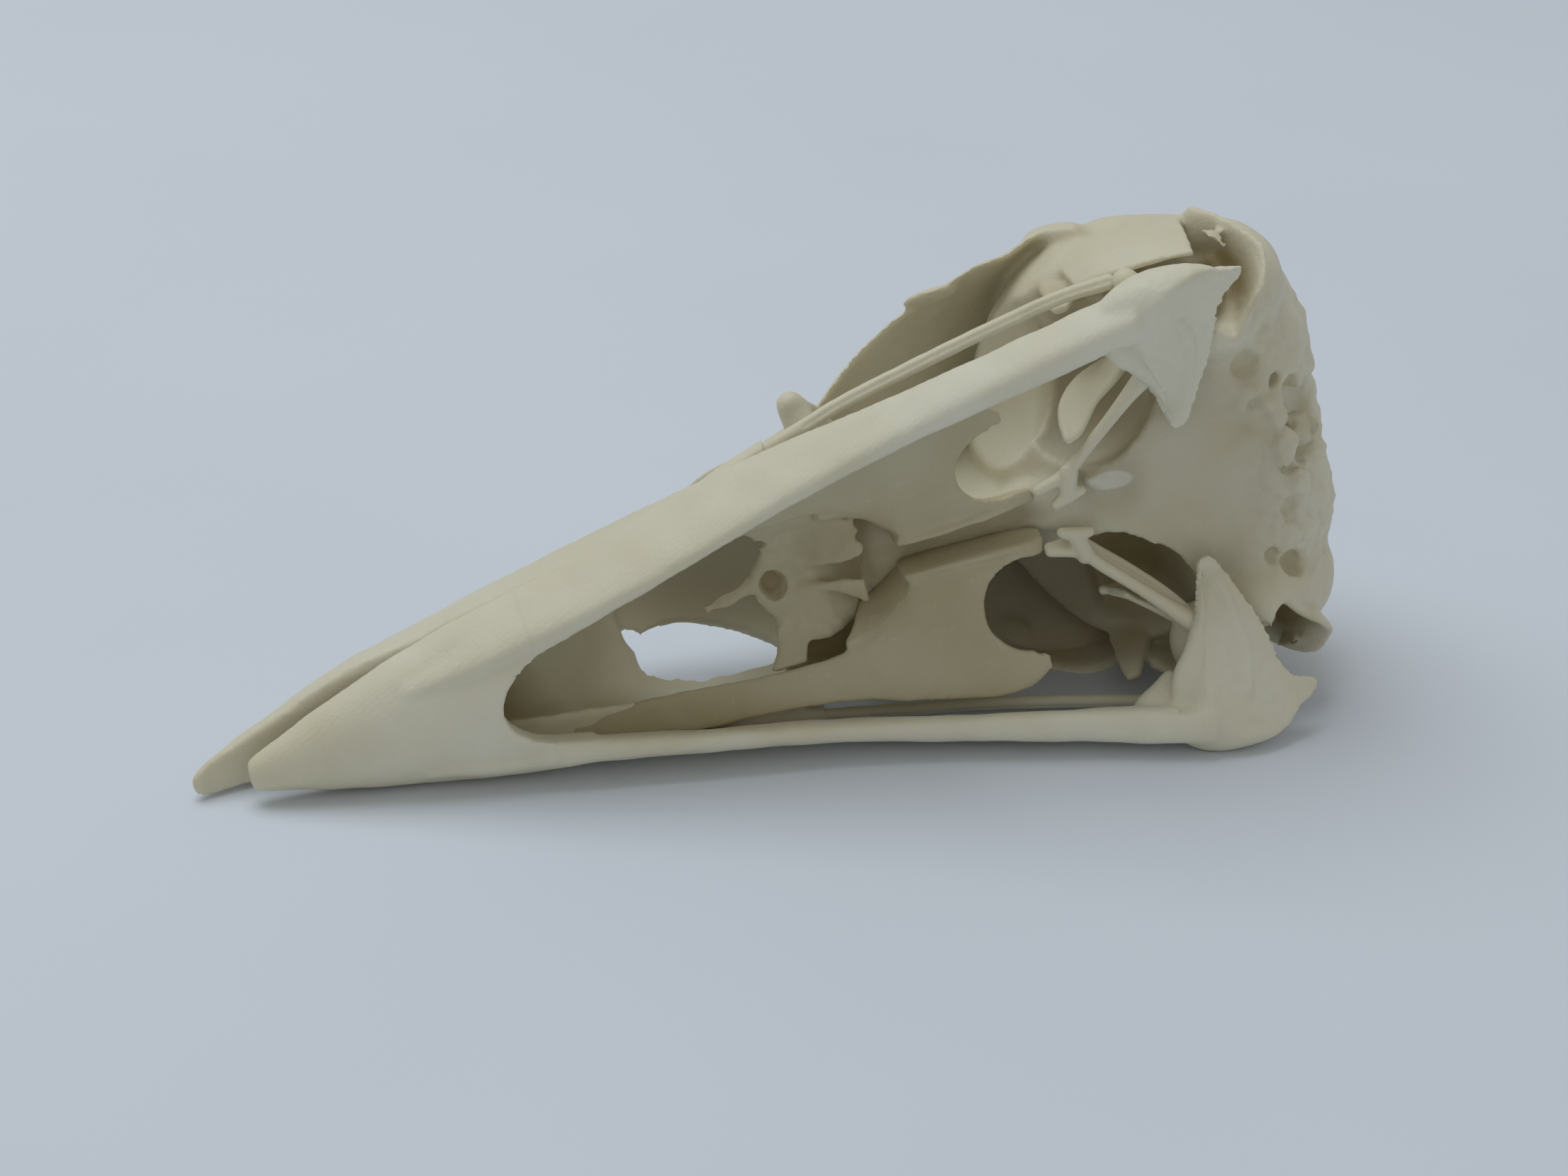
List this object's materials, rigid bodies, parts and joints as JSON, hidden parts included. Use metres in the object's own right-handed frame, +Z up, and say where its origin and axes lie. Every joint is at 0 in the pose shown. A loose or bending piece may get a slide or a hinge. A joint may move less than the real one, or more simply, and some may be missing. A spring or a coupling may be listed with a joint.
{
  "type": "raven skull model",
  "caption": "Life-size ivory resin cast of a raven skull with its lower jaw closed, lying on its right side, palate toward the viewer.",
  "frame": {"origin": "centre of the bounding box, on the floor that the skull lies on", "axes": "+Z up from the floor, the bill points along -X and 11 degrees toward -Y, the palate faces -Y"},
  "size_m": [0.1074, 0.0512, 0.0482],
  "materials": {
    "braincase": "ivory resin, matte",
    "bill": "ivory resin, matte, faint print lines",
    "palate": "ivory resin, thin and slightly warm",
    "struts": "ivory resin, matte",
    "jaw": "ivory resin, matte, faint print lines"
  },
  "bodies": {
    "root": {"cranium": "braincase", "upper_beak": "bill", "vomer": "palate", "palatine_left": "palate", "palatine_right": "palate", "pterygoid_left": "struts", "pterygoid_right": "struts", "quadrate_left": "struts", "quadrate_right": "struts", "jugal_left": "struts", "jugal_right": "struts", "mandible_symphysis": "jaw", "mandible_ramus_left": "jaw", "mandible_ramus_right": "jaw"}
  },
  "joints": []
}
